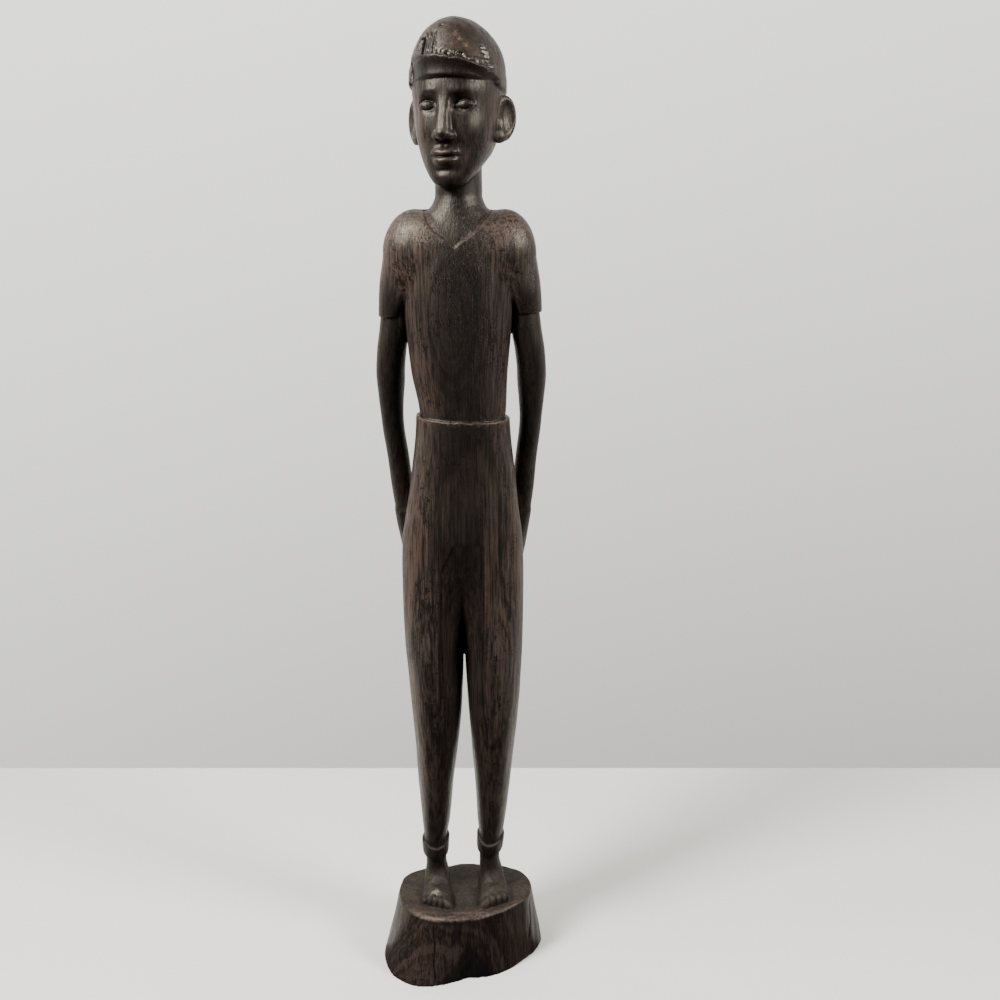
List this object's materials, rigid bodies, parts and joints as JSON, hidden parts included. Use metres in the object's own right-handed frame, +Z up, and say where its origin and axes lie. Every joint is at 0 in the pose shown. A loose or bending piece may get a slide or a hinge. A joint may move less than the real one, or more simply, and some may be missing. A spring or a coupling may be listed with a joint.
{
  "type": "carved standing figure",
  "caption": "Slim standing man in a cap, V-neck shirt and turned-up trousers, arms at the sides, carved whole with a low oval base from dark hardwood.",
  "frame": {"origin": "on the flat underside of the base, below the middle of the body", "axes": "+Z up along the figure's height, -Y out of the chest, +X towards the figure's left hand"},
  "size_m": [0.1111, 0.0817, 0.61],
  "materials": {
    "dark_hardwood": "satin, oiled, dark with reddish brown streaks"
  },
  "bodies": {
    "root": {"carved_figure": "dark_hardwood"}
  },
  "joints": []
}
